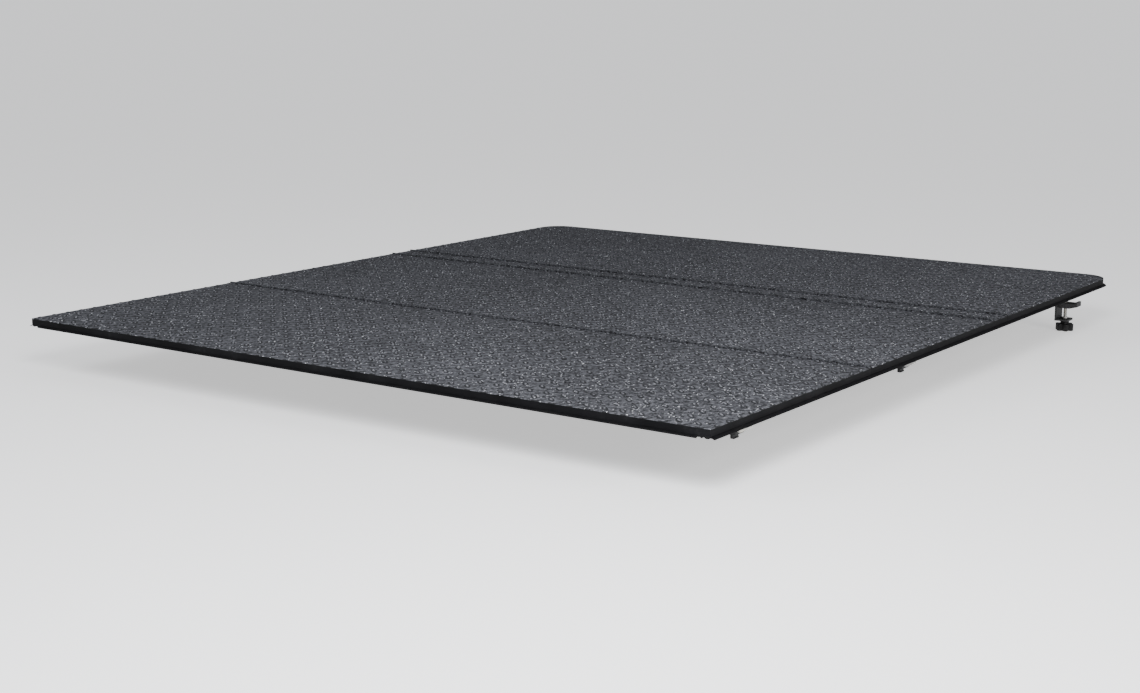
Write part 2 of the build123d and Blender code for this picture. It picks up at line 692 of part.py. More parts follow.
os.makedirs("parts", exist_ok=True)
for node, shape in nodes.items():
    export_step(shape, f"parts/{node}.step")
print(len(nodes), "nodes")
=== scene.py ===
# %% [markdown]
# # A hard folding pickup cover
#
# The real thing is three framed panels and a narrow hinge strip, laid over a pickup's bed. The
# panels are sheets of black tread plate, held in extruded rails, hinged on long pins and sealed
# with rubber. The moving parts come ready from the engineering model, so this lesson gives them
# their skins, seals, springs, threads and finishes. It starts by loading that model.

# %% Load the frame
import json
from math import hypot, pi, radians, sqrt
import bpy
from mathutils import Euler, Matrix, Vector

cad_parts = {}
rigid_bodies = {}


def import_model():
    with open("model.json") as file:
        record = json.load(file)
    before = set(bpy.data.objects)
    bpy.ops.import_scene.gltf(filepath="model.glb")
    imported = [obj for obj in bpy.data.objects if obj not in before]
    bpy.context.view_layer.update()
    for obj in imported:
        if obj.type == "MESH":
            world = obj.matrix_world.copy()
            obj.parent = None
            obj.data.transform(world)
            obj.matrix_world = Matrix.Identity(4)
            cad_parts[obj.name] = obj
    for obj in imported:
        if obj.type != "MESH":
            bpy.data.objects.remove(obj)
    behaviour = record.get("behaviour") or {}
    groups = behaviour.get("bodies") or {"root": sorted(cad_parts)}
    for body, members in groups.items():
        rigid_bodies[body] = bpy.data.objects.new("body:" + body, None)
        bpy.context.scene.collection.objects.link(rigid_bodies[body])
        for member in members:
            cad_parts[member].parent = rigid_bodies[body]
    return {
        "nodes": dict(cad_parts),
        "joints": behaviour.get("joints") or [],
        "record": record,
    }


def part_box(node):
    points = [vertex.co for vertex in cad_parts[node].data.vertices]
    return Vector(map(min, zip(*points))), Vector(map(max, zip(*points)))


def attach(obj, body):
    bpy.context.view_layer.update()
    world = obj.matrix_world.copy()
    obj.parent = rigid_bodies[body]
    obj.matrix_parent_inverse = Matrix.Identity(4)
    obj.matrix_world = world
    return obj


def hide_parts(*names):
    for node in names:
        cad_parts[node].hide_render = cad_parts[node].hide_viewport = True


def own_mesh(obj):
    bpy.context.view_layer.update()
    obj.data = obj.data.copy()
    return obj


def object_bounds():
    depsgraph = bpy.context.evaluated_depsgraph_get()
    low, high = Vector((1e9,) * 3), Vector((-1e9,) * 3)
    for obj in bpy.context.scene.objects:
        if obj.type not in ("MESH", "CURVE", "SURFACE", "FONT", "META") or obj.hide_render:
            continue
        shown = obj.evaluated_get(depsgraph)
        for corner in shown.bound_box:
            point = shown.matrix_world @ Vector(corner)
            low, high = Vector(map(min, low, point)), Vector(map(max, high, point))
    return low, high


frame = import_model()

cad_box = [list(corner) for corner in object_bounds()]
nodes = frame["nodes"]
MM = 0.001

# %% [markdown]
# ## Camera
#
# The viewer stands behind the right rear corner, a little above the cover, and looks along it
# with a slightly long lens. Standing well back with a narrow view keeps the far edge large.

# %% Camera
LENS_MM = 55.7
SENSOR_MM = 36
CAMERA_RIGHT = 2.1703
CAMERA_BEHIND = 2.2771
CAMERA_ABOVE = 0.659
LOOK_DOWN = 11.33
LOOK_LEFT = 35.44

rear_skin_low, rear_skin_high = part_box("rear_skin")
front_skin_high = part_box("front_skin")[1]
rear_edge = rear_skin_low.y
top = rear_skin_high.z
camera_data = bpy.data.cameras.new("camera")
camera_data.lens = LENS_MM
camera_data.sensor_width = SENSOR_MM
camera = bpy.data.objects.new("camera", camera_data)
camera.location = (CAMERA_RIGHT, rear_edge - CAMERA_BEHIND, top + CAMERA_ABOVE)
camera.rotation_euler = Euler((radians(90 - LOOK_DOWN), 0, radians(LOOK_LEFT)))
bpy.context.scene.collection.objects.link(camera)
bpy.context.scene.camera = camera
print("camera at", [round(c, 3) for c in camera.location])

# %% [markdown]
# ## Small tools for modelling
#
# An operator works on whatever is selected, and the loaded model arrives selected, so every piece
# starts by deselecting. Then a primitive is added at its size and place, and its faces or edges
# are picked in code by where they are. These few helpers do the picking and the finishing.

# %% Modelling helpers
TOUCHING = MM / 1000


def clear_selection():
    """Leaves edit mode and selects nothing."""
    if bpy.context.object and bpy.context.object.mode == "EDIT":
        bpy.ops.object.mode_set(mode="OBJECT")
    bpy.ops.object.select_all(action="DESELECT")


def only(piece):
    """Selects one piece and nothing else."""
    clear_selection()
    piece.select_set(True)
    bpy.context.view_layer.objects.active = piece


def named(name):
    """Names the newest piece."""
    piece = bpy.context.object
    piece.name = piece.data.name = name
    return piece


def settle(piece):
    """Moves the piece's place, turn and size into its mesh."""
    only(piece)
    bpy.ops.object.transform_apply(location=True, rotation=True, scale=True)


def edit(piece, mode="FACE"):
    """Opens a piece with nothing in it selected."""
    only(piece)
    bpy.ops.object.mode_set(mode="EDIT")
    bpy.ops.mesh.select_mode(type=mode)
    bpy.ops.mesh.select_all(action="DESELECT")
    bpy.ops.object.mode_set(mode="OBJECT")


def pick_faces(piece, test):
    """Selects the faces whose centre and normal pass a test, and opens the piece."""
    edit(piece, "FACE")
    for face in piece.data.polygons:
        face.select = test(face.center, face.normal)
    bpy.ops.object.mode_set(mode="EDIT")


def pick_edges(piece, test):
    """Selects the edges whose two ends pass a test, and opens the piece."""
    edit(piece, "EDGE")
    points = piece.data.vertices
    for edge in piece.data.edges:
        a, b = (points[i].co for i in edge.vertices)
        edge.select = test(a, b)
    bpy.ops.object.mode_set(mode="EDIT")


def edit_all(piece):
    """Opens a piece with everything in it selected."""
    edit(piece)
    bpy.ops.object.mode_set(mode="EDIT")
    bpy.ops.mesh.select_all(action="SELECT")


def close_edit():
    """Goes back from editing to whole pieces."""
    bpy.ops.object.mode_set(mode="OBJECT")


def modifier(piece, kind, **settings):
    """Adds one modifier to a piece and applies it."""
    only(piece)
    bpy.ops.object.modifier_add(type=kind)
    made = piece.modifiers[-1]
    for key, value in settings.items():
        setattr(made, key, value)
    bpy.ops.object.modifier_apply(modifier=made.name)


def coil_up(piece, axis, pitch, turns, steps):
    """Sweeps a flat section round an axis as a helix, and fills its two ends."""
    sides = len(piece.data.vertices)
    modifier(
        piece, "SCREW", axis=axis, angle=2 * pi, screw_offset=pitch, iterations=turns,
        steps=steps, render_steps=steps, use_merge_vertices=False)
    edit_all(piece)
    bpy.ops.mesh.fill_holes(sides=sides)
    close_edit()


def join(name, pieces):
    """Joins pieces into one and names it."""
    clear_selection()
    for piece in pieces:
        piece.select_set(True)
    bpy.context.view_layer.objects.active = pieces[0]
    if len(pieces) > 1:
        bpy.ops.object.join()
    return named(name)


def outward(piece):
    """Welds a piece's touching points and turns all its faces outward."""
    edit_all(piece)
    bpy.ops.mesh.remove_doubles(threshold=TOUCHING)
    bpy.ops.mesh.normals_make_consistent(inside=False)
    close_edit()


def smooth(piece, angle):
    """Shades a piece smooth, apart from edges sharper than an angle in degrees."""
    only(piece)
    bpy.ops.object.shade_smooth_by_angle(angle=radians(angle))


print("helpers ready")

# %% [markdown]
# ## Small tools for finishes
#
# A finish is a little sum: so much grain, less wear, plus a speck here and there. Wrapping a
# socket in a class lets that sum be written as one, and every operator adds the Math node that it
# needs. Colours go through Mix nodes instead, because a Math node would turn them grey.

# %% Shader helpers
class Signal:
    """One socket that can be added, scaled and compared."""

    def __init__(self, finish, socket):
        self.finish = finish
        self.socket = socket

    def __add__(self, other):
        return self.finish.maths("ADD", self, other)

    def __sub__(self, other):
        return self.finish.maths("SUBTRACT", self, other)

    def __rsub__(self, other):
        return self.finish.maths("SUBTRACT", other, self)

    def __mul__(self, other):
        return self.finish.maths("MULTIPLY", self, other)

    def __truediv__(self, other):
        return self.finish.maths("DIVIDE", self, other)

    def __gt__(self, other):
        return self.finish.maths("GREATER_THAN", self, other)

    def __lt__(self, other):
        return self.finish.maths("LESS_THAN", self, other)

    __radd__ = __add__
    __rmul__ = __mul__

    def ramp(self, low, high):
        """0 below low, 1 above high, and a straight line between."""
        inputs = {"Value": self, "From Min": low, "From Max": high}
        return self.finish.add("ShaderNodeMapRange", {"clamp": True}, inputs)

    def spread(self):
        """The middle of a noise's range, opened out to 0 and 1."""
        return self.ramp(0.3, 0.7)


class Finish:
    """One material, with the nodes that make it."""

    def __init__(self, name):
        self.material = bpy.data.materials.new(name)
        self.material.use_nodes = True
        self.tree = self.material.node_tree
        self.shader = self.tree.nodes["Principled BSDF"]
        coordinate = self.tree.nodes.new("ShaderNodeTexCoord")
        self.place = Signal(self, coordinate.outputs["Object"])

    def plug(self, socket, value):
        """Links a signal to a socket, or sets the socket to a number or a colour."""
        if isinstance(value, Signal):
            self.tree.links.new(value.socket, socket)
        elif hasattr(socket.default_value, "__len__") and len(socket.default_value) == 4:
            socket.default_value = (*value, 1) if len(value) == 3 else value
        else:
            socket.default_value = value

    def add(self, kind, settings=None, inputs=None, output=0):
        """Adds a node: its settings first, then the values or links of its sockets."""
        node = self.tree.nodes.new(kind)
        for key, value in (settings or {}).items():
            setattr(node, key, value)
        for key, value in (inputs or {}).items():
            self.plug(node.inputs[key], value)
        return Signal(self, node.outputs[output])

    def maths(self, operation, first, second):
        """One Math node."""
        return self.add("ShaderNodeMath", {"operation": operation}, {0: first, 1: second})

    def stretch(self, scale):
        """Object coordinates, finer along some axes than others."""
        return self.add("ShaderNodeMapping", {}, {"Vector": self.place, "Scale": scale})

    def noise(self, scale, detail=2.0, rough=0.5, vector=None):
        """Cloudy noise from 0 to 1, mostly near a half."""
        inputs = {"Vector": vector or self.place, "Scale": scale, "Detail": detail}
        inputs["Roughness"] = rough
        return self.add("ShaderNodeTexNoise", {}, inputs)

    def cells(self, scale, output="Distance", feature="F1", vector=None):
        """A pattern of scattered cells: the distance to each one's middle, or its own colour."""
        inputs = {"Vector": vector or self.place, "Scale": scale}
        return self.add("ShaderNodeTexVoronoi", {"feature": feature}, inputs, output)

    def part(self, signal, index):
        """One number out of a vector or colour."""
        return self.add("ShaderNodeSeparateXYZ", {}, {0: signal}, index)

    def blend(self, factor, first, second):
        """A colour between two colours."""
        settings = {"data_type": "RGBA"}
        return self.add("ShaderNodeMix", settings, {0: factor, 6: first, 7: second}, 2)

    def bump(self, height, depth, strength=1.0, under=None):
        """A normal from a height and its depth in metres, on top of another normal if given."""
        inputs = {"Height": height, "Distance": depth, "Strength": strength}
        if under:
            inputs["Normal"] = under
        return self.add("ShaderNodeBump", {}, inputs)

    def finish(self, **inputs):
        """Sets the shader's own sockets, written with _ for a space."""
        for key, value in inputs.items():
            self.plug(self.shader.inputs[key.replace("_", " ")], value)
        print("finish", self.material.name, "with", len(self.tree.nodes), "nodes")
        return self.material


def above(height, low, high):
    """0 below one level and 1 above another, both in millimetres over the sheets' tops."""
    return height.ramp(top + low * MM, top + high * MM)


# %% [markdown]
# ## Textured black coat on the tread plate
#
# The sheet is aluminium tread plate under a thick, gritty black powder coat. Close up the coat is
# a bed of grains about a millimetre across, some of which turn a tiny facet to the light and
# sparkle; those glints are painted into the colour as rare bright specks. Far away the grains blur
# to a soft mid grey. So the finish has three scales: drifts of tone over a hand's breadth, grains
# with real bump, and rare painted glints. The tops of the lugs, which hands and cargo rub, are a
# little smoother. Painted shade darkens each lug's flanks and a ring round its foot, where shadow
# falls. The lugs stand on a regular grid, so a little sum on the coordinates finds the rings.

# %% Tread coat
LUG_LENGTH = 25.0 * MM
LUG_WIDTH = 6.6 * MM
CELL = 35.5 * MM
ROW_OFFSET = 20.5 * MM
# How far the painted shade ring reaches out beyond each lug's lens.
SHADE_RING_SPREAD = 2.2 * MM
# The dark end of the grit, also the colour of the painted shade on and round the lugs.
DARK_GRIT_AND_SHADE = (0.006, 0.006, 0.007)
PALE_GRIT = (0.17, 0.174, 0.194)
RUBBED_GRIT = (0.25, 0.255, 0.28)
# Colour of the painted glints: specks of highlight painted into the coat.
GLINT_COLOUR = (0.62, 0.63, 0.67)
ROLLED = (1, 0.6, 1)
# Noise scales are in waves to the metre, so a larger one is finer.
DRIFT_SCALE = 2.3
MOTTLE_SCALE = 95
GRIT_SCALE = 250
GRAIN_SCALE = 760
# Size, rarity and reach of the painted glints.
GLINT_SCALE = 370
GLINT_DICE = 0.95
GLINT_REACH = 0.42
COARSE_RELIEF = 1.8 * MM
FINE_RELIEF = 0.3 * MM
COAT_SHINE = 0.25


def lug_shade_ring(coat, half_cell, slope):
    """1 on the sheet within a lug's own lens, made wider all round, for every lug one way: the
    painted shade ring.
    """
    across = coat.part(coat.place, 0) / CELL + (0.5 + half_cell)
    along = (coat.part(coat.place, 1) - (rear_edge + ROW_OFFSET)) / CELL + (0.5 + half_cell)
    across = coat.maths("FRACT", across, 0) - 0.5
    along = coat.maths("FRACT", along, 0) - 0.5
    diagonal = CELL * sqrt(0.5)
    length = (across * slope + along) * (diagonal / (LUG_LENGTH / 2 + SHADE_RING_SPREAD))
    width = (along - across * slope) * (diagonal / (LUG_WIDTH / 2 + SHADE_RING_SPREAD))
    reach = length * length + width * width
    return 1 - reach.ramp(0.75, 1.1)


def tread_coat():
    """Gritty black powder coat, with painted glints, rubbed lugs and painted shade round the lugs.
    """
    coat = Finish("tread_coat")
    drift = coat.noise(DRIFT_SCALE, 3)
    grain = coat.noise(GRAIN_SCALE, 2, 0.6)
    rolled = coat.stretch(ROLLED)
    grit = coat.noise(GRIT_SCALE, 2, 0.7, rolled)
    mottle = coat.noise(MOTTLE_SCALE, 2, 0.65, rolled)
    # Painted glints: rare specks of bright colour where the coat's grains would catch the light.
    dice = coat.part(coat.cells(GLINT_SCALE, "Color", "F1", rolled), 0)
    reach = coat.cells(GLINT_SCALE, "Distance", "F1", rolled)
    glint = (dice > GLINT_DICE) * (reach < GLINT_REACH)
    height = coat.part(coat.place, 2)
    # Painted shade: a dark ring round the foot of every lug, standing in for the shadow there.
    ring = coat.maths("MAXIMUM", lug_shade_ring(coat, 0, -1), lug_shade_ring(coat, 0.5, 1))
    ring = ring * (1 - above(height, 0.05, 0.3))
    # Painted shade on the lugs' flanks, between their feet and their rounded tops.
    foot = above(height, 0.02, 0.1) - above(height, 0.4, 0.7)
    rubbed = above(height, 0.6, 0.9) * grit.ramp(0.4, 0.55)
    tone = drift.spread() * 0.12 + grit.ramp(0.4, 0.62) * 0.5 + mottle.ramp(0.4, 0.62) * 0.2
    base = coat.blend(tone, DARK_GRIT_AND_SHADE, PALE_GRIT)
    base = coat.blend(foot * 0.6, base, DARK_GRIT_AND_SHADE)
    base = coat.blend(ring * 0.85, base, DARK_GRIT_AND_SHADE)
    base = coat.blend(rubbed * 0.7, base, RUBBED_GRIT)
    base = coat.blend(glint, base, GLINT_COLOUR)
    rough = 0.66 + grain * 0.2 - rubbed * 0.14 - glint * 0.25
    coarse = coat.bump(mottle * 0.5 + grit * 0.5, COARSE_RELIEF, 0.9)
    normal = coat.bump(grain, FINE_RELIEF, 0.9, coarse)
    return coat.finish(
        Base_Color=base, Roughness=rough, Normal=normal, Specular_IOR_Level=COAT_SHINE)


# %% [markdown]
# ## Satin black on the rails
#
# The rails are extruded, so the die leaves faint lines along their length, and the black film
# over them is satin. The lines run along X on the rails across the bed and along Y on the side
# rails: noise stretched along the rail makes them. Handling leaves pale scuffs and a little dust.
# The hinge knuckles stand above the sheets, so there the same grit as the tread's coat takes over.

# %% Rail coat
RAIL_DARK = (0.0025, 0.0025, 0.003)
RAIL_PALE = (0.006, 0.006, 0.007)
RAIL_SCUFF = (0.03, 0.03, 0.031)
CROWN_GRIT = (0.07, 0.072, 0.079)
RAIL_SHINE = 0.06
DIE_LINE = 6
DIE_PITCH = 1600


def rail_coat(name, die_lines):
    """Satin black with die lines; die_lines is small along the rail and large across it."""
    coat = Finish(name)
    lines = coat.noise(1, 3, 0.6, coat.stretch(die_lines))
    cloud = coat.noise(14, 4)
    dust = coat.noise(90, 3, 0.65)
    scuff = cloud.ramp(0.58, 0.72) * dust.ramp(0.45, 0.65)
    base = coat.blend(cloud.spread(), RAIL_DARK, RAIL_PALE)
    base = coat.blend(scuff * 0.3, base, RAIL_SCUFF)
    crown = above(coat.part(coat.place, 2), -0.4, 0.2)
    grit = coat.noise(240, 2, 0.7).ramp(0.38, 0.62)
    base = coat.blend(crown, base, coat.blend(grit, DARK_GRIT_AND_SHADE, CROWN_GRIT))
    rough = 0.5 + lines * 0.16 + scuff * 0.12 + crown * 0.15
    skin = coat.bump(coat.noise(1500, 2), 0.04 * MM, 0.5)
    normal = coat.bump(lines, 0.06 * MM, 0.5, skin)
    return coat.finish(
        Base_Color=base, Roughness=rough, Normal=normal, Specular_IOR_Level=RAIL_SHINE)


# %% [markdown]
# ## Rubber
#
# The seals are extruded rubber: nearly black, dull, with a skin like fine leather and road dust
# caught in it. A rubber that is too dark shows no form, so the dust matters.

# %% Seal rubber
RUBBER_BLACK = (0.003, 0.003, 0.0035)
RUBBER_DUSTY = (0.012, 0.0115, 0.011)
RUBBER_SHINE = 0.15


def seal_rubber():
    """Dull, nearly black rubber with dust in its skin."""
    rubber = Finish("seal_rubber")
    skin = rubber.noise(900, 3, 0.6)
    dust = rubber.noise(35, 4, 0.7)
    bloom = dust.ramp(0.5, 0.75)
    base = rubber.blend(bloom * 0.5, RUBBER_BLACK, RUBBER_DUSTY)
    rough = 0.6 + bloom * 0.25 + skin * 0.1
    normal = rubber.bump(skin, 0.08 * MM, 0.6)
    return rubber.finish(
        Base_Color=base, Roughness=rough, Normal=normal, Specular_IOR_Level=RUBBER_SHINE)


# %% [markdown]
# ## Moulded, cast and plated finishes
#
# The latch housings, triggers and knobs are glass-filled nylon from a mould with a fine
# spark-eroded grain. The brackets are cast and coated, so they are lumpier. The bolts, springs
# and spindles are zinc plated: metal whose gloss wanders, with a faint straw tint. Screws and
# pins are blackened steel. Under the panels lies a grained liner, round a milky plastic core.

# %% Hardware finishes
NYLON_DARK, NYLON_PALE = (0.009, 0.009, 0.0095), (0.016, 0.016, 0.017)
NYLON_MARK = (0.045, 0.045, 0.045)
NYLON_SHINE = 0.25
CAST_DARK, CAST_PALE = (0.012, 0.012, 0.013), (0.03, 0.03, 0.032)
BARE_METAL = (0.28, 0.28, 0.29)
ZINC_BLUE, ZINC_STRAW = (0.52, 0.53, 0.55), (0.6, 0.57, 0.5)
ZINC_SPANGLE = (0.42, 0.43, 0.45)
STEEL_BLACK, STEEL_RUBBED = (0.035, 0.035, 0.037), (0.12, 0.12, 0.125)
LINER_DARK, LINER_PALE = (0.018, 0.018, 0.019), (0.03, 0.03, 0.031)
CORE_DULL, CORE_MILKY = (0.62, 0.62, 0.59), (0.74, 0.74, 0.71)


def moulded_nylon():
    """Black moulded nylon with a fine grain and a few pale scratches."""
    nylon = Finish("moulded_nylon")
    grain = nylon.cells(1400)
    flow = nylon.noise(30, 3)
    scratch = nylon.noise(1, 4, 0.7, nylon.stretch((60, 900, 400)))
    mark = scratch.ramp(0.62, 0.72)
    base = nylon.blend(flow.spread(), NYLON_DARK, NYLON_PALE)
    base = nylon.blend(mark * 0.4, base, NYLON_MARK)
    rough = 0.48 + flow * 0.14 + mark * 0.12
    normal = nylon.bump(grain, 0.1 * MM, 0.5)
    return nylon.finish(
        Base_Color=base, Roughness=rough, Normal=normal, Specular_IOR_Level=NYLON_SHINE)


def cast_coat():
    """A lumpy coat on a casting, chipped to the metal in a few places."""
    coat = Finish("cast_coat")
    lumps = coat.noise(420, 3, 0.6)
    pits = coat.cells(260)
    chip = (coat.noise(55, 4, 0.7) > 0.68) * (coat.noise(300, 2) > 0.5)
    base = coat.blend(lumps, CAST_DARK, CAST_PALE)
    base = coat.blend(chip, base, BARE_METAL)
    rough = 0.58 + lumps * 0.15 - chip * 0.2
    normal = coat.bump(lumps, 0.35 * MM, 0.7, coat.bump(pits, 0.15 * MM, 0.4))
    return coat.finish(Base_Color=base, Roughness=rough, Metallic=chip, Normal=normal)


def zinc_plate():
    """Plated metal whose gloss wanders from crystal to crystal."""
    zinc = Finish("zinc_plate")
    spangle = zinc.cells(90, "Color")
    tone = zinc.part(spangle, 0)
    drift = zinc.noise(25, 4)
    brushed = zinc.noise(1, 3, 0.6, zinc.stretch((900, 900, 120)))
    base = zinc.blend(drift.spread(), ZINC_BLUE, ZINC_STRAW)
    base = zinc.blend(tone * 0.25, base, ZINC_SPANGLE)
    rough = 0.26 + tone * 0.1 + drift * 0.12
    normal = zinc.bump(brushed, 0.04 * MM, 0.4)
    return zinc.finish(Base_Color=base, Roughness=rough, Metallic=1.0, Normal=normal)


def black_steel():
    """Blackened steel, rubbed bright here and there."""
    steel = Finish("black_steel")
    drift = steel.noise(180, 4, 0.6)
    rubbed = drift.ramp(0.55, 0.7)
    base = steel.blend(rubbed, STEEL_BLACK, STEEL_RUBBED)
    rough = 0.34 + drift * 0.2
    normal = steel.bump(steel.noise(1300, 2), 0.04 * MM, 0.5)
    return steel.finish(Base_Color=base, Roughness=rough, Metallic=0.9, Normal=normal)


def liner_sheet():
    """The underside liner: black sheet plastic with a leathery embossed grain."""
    liner = Finish("liner_sheet")
    hide = liner.cells(240, "Distance", "DISTANCE_TO_EDGE")
    fine = liner.noise(900, 2)
    drift = liner.noise(3, 3)
    base = liner.blend(drift.spread(), LINER_DARK, LINER_PALE)
    rough = 0.5 + fine * 0.15 - hide.ramp(0.0, 0.3) * 0.08
    normal = liner.bump(hide.ramp(0.0, 0.25), 0.25 * MM, 0.7, liner.bump(fine, 0.05 * MM, 0.4))
    return liner.finish(Base_Color=base, Roughness=rough, Normal=normal)


def core_plastic():
    """Natural polypropylene, milky, with a slight flow pattern."""
    core = Finish("core_plastic")
    flow = core.noise(18, 4, 0.6)
    base = core.blend(flow.spread(), CORE_DULL, CORE_MILKY)
    rough = 0.45 + flow * 0.2
    normal = core.bump(core.noise(500, 2), 0.06 * MM, 0.4)
    return core.finish(Base_Color=base, Roughness=rough, Normal=normal)


finishes = {
    "tread_skin": tread_coat(),
    "seal_rubber": seal_rubber(),
    "moulded_black": moulded_nylon(),
    "bracket_black": cast_coat(),
    "zinc_steel": zinc_plate(),
    "black_screw": black_steel(),
    "pin_steel": black_steel(),
    "liner_black": liner_sheet(),
    "core_white": core_plastic(),
}
rails_across = rail_coat("rail_coat_across", (DIE_LINE, DIE_PITCH, DIE_PITCH))
rails_along = rail_coat("rail_coat_along", (DIE_PITCH, DIE_LINE, DIE_PITCH))


def paint(piece, material):
    """Gives a piece one material and no other."""
    piece.data.materials.clear()
    piece.data.materials.append(material)


# %% [markdown]
# ## Finishes on the engineering parts
#
# Every part that keeps its engineering shape gets its finish here. The record says which slot
# each one has, and the rails are told apart by the way they run. The moulded corners and end caps
# lie flush in the edge band, so they take the rails' coat and the band stays one dark line.

# %% Paint the carried parts
FLUSH_WITH_RAILS = ("front_corners", "strip_end_caps")
for part in frame["record"]["subparts"]:
    node, part_slot = part["node"], part["material_slot"]
    if node in FLUSH_WITH_RAILS:
        paint(nodes[node], rails_along)
    elif part_slot == "frame_black":
        paint(nodes[node], rails_along if "side_frames" in node else rails_across)
    else:
        paint(nodes[node], finishes[part_slot])

# %% [markdown]
# Moulded and cast pieces never have knife edges. The engineering shapes do, so a Weld modifier
# closes each one's mesh and a Bevel modifier rounds its sharp edges a little. The shapes
# underneath stay as they are.

# %% Eased edges
SOFT_EDGE = 0.4 * MM
SHARP_DEGREES = 50
WELD_DISTANCE = MM / 100
EASED = (
    "latch_housing", "latch_trigger", "latch_bolt", "clamp_bracket", "clamp_knob", "clamp_jaw",
)
eased = [node for node in nodes if any(word in node for word in EASED)]
for node in eased:
    nodes[node].modifiers.new("weld", "WELD").merge_threshold = WELD_DISTANCE
    ease = nodes[node].modifiers.new("ease", "BEVEL")
    ease.width = SOFT_EDGE
    ease.segments = 2
    ease.limit_method = "ANGLE"
    ease.angle_limit = radians(SHARP_DEGREES)
    ease.use_clamp_overlap = True
    ease.harden_normals = True
print("eased", len(eased), "parts")

# %% [markdown]
# ## Tread plate
#
# Tread plate is rolled with small lens-shaped lugs, which lie at 45 degrees one way and then the
# other, like basket work. One lug starts as a ten-sided cylinder, stretched to a lens. Its top is
# pushed up in two steps, each narrower than the last, which rounds it over. Two crossed lugs make
# a cell, and two Array modifiers lay the cells over the panel. The plate is cut from a larger
# sheet, so lugs that cross an edge are sliced by it.

# %% Tread plate sizes
LUG_HEIGHT = 0.9 * MM
LUG_ROOT = 0.2 * MM
EDGE_ROUND = 0.35 * MM
CUT_MARGIN = 0.5 * MM
LUG_SIDES = 10
LUG_STEPS = ((0.58, 0.8), (0.42, 0.56))
LENS_TAPER = 0.92
ONE_WAY, OTHER_WAY = 135, 45
SPARE_CELLS = 3
CORNER_SEGMENTS = 16
CORNER_CLEARANCE = 4 * MM


def one_lug(name, x, y, heading):
    """A lens-shaped lug, closed underneath, with its foot a little inside the sheet."""
    clear_selection()
    bpy.ops.mesh.primitive_cylinder_add(
        vertices=LUG_SIDES, radius=LUG_LENGTH / 2, depth=LUG_ROOT,
        location=(0, 0, -LUG_ROOT / 2))
    lug = named(name)
    pick_faces(lug, lambda c, n: n.z > 0.9)
    for rise, shrink in LUG_STEPS:
        bpy.ops.mesh.extrude_region_move(
            TRANSFORM_OT_translate={"value": (0, 0, rise * LUG_HEIGHT)})
        bpy.ops.transform.resize(value=(shrink, shrink * LENS_TAPER, 1))
    close_edit()
    lug.scale = (1, LUG_WIDTH / LUG_LENGTH, 1)
    settle(lug)
    lug.rotation_euler = (0, 0, radians(heading))
    lug.location = (x, y, top)
    settle(lug)
    return lug


def lug_field(name, low, high):
    """Crossed lugs over a panel from its low corner to its high one, trimmed to it."""
    columns = int((high.x - low.x) / CELL) + SPARE_CELLS
    rows = int((high.y - low.y) / CELL) + SPARE_CELLS
    first_row = int((low.y - rear_edge) / CELL) - 1
    x0 = -CELL * (columns // 2)
    y0 = rear_edge + ROW_OFFSET + first_row * CELL
    pair = [
        one_lug("lug_one_way", x0, y0, ONE_WAY),
        one_lug("lug_other_way", x0 + CELL / 2, y0 + CELL / 2, OTHER_WAY),
    ]
    field = join(name, pair)
    for count, step in ((columns, (CELL, 0, 0)), (rows, (0, CELL, 0))):
        modifier(
            field, "ARRAY", count=count, use_relative_offset=False,
            use_constant_offset=True, constant_offset_displace=step)
    cuts = (
        ((low.x + CUT_MARGIN, 0, 0), (-1, 0, 0)),
        ((high.x - CUT_MARGIN, 0, 0), (1, 0, 0)),
        ((0, low.y + CUT_MARGIN, 0), (0, -1, 0)),
        ((0, high.y - CUT_MARGIN, 0), (0, 1, 0)),
    )
    for point, normal in cuts:
        edit_all(field)
        bpy.ops.mesh.bisect(
            plane_co=point, plane_no=normal, use_fill=True, clear_outer=True)
        close_edit()
    smooth(field, 50)
    return field


def sheet_plate(name, low, high, corner_radius=0.0):
    """The flat of the plate, its rim eased where the shears and the coat left it."""
    clear_selection()
    bpy.ops.mesh.primitive_cube_add(size=1, location=(low + high) / 2)
    plate = named(name)
    plate.scale = high - low
    settle(plate)
    if corner_radius:
        pick_edges(plate, lambda a, b: abs(a.z - b.z) > MM / 2 and a.y > high.y - MM)
        bpy.ops.mesh.bevel(offset=corner_radius, offset_type="OFFSET", segments=CORNER_SEGMENTS)
        close_edit()
    pick_edges(plate, lambda a, b: a.z > high.z - MM / 10 and b.z > high.z - MM / 10)
    bpy.ops.mesh.bevel(offset=EDGE_ROUND, segments=3)
    close_edit()
    smooth(plate, 40)
    return plate


def outside_corner(point, high, radius):
    """Whether a point lies beyond the rounded corners of the front edge."""
    dx = abs(point.x) - (high.x - radius)
    dy = point.y - (high.y - radius)
    return dx > 0 and dy > 0 and hypot(dx, dy) > radius - CORNER_CLEARANCE


print("tread tools ready")

# %% [markdown]
# One call per panel makes its plate, its lugs and joins them, and the finished tread takes the
# place of the plain skin. The front panel has rounded corners at the cab, where the lugs that
# would hang over the curve are taken away.

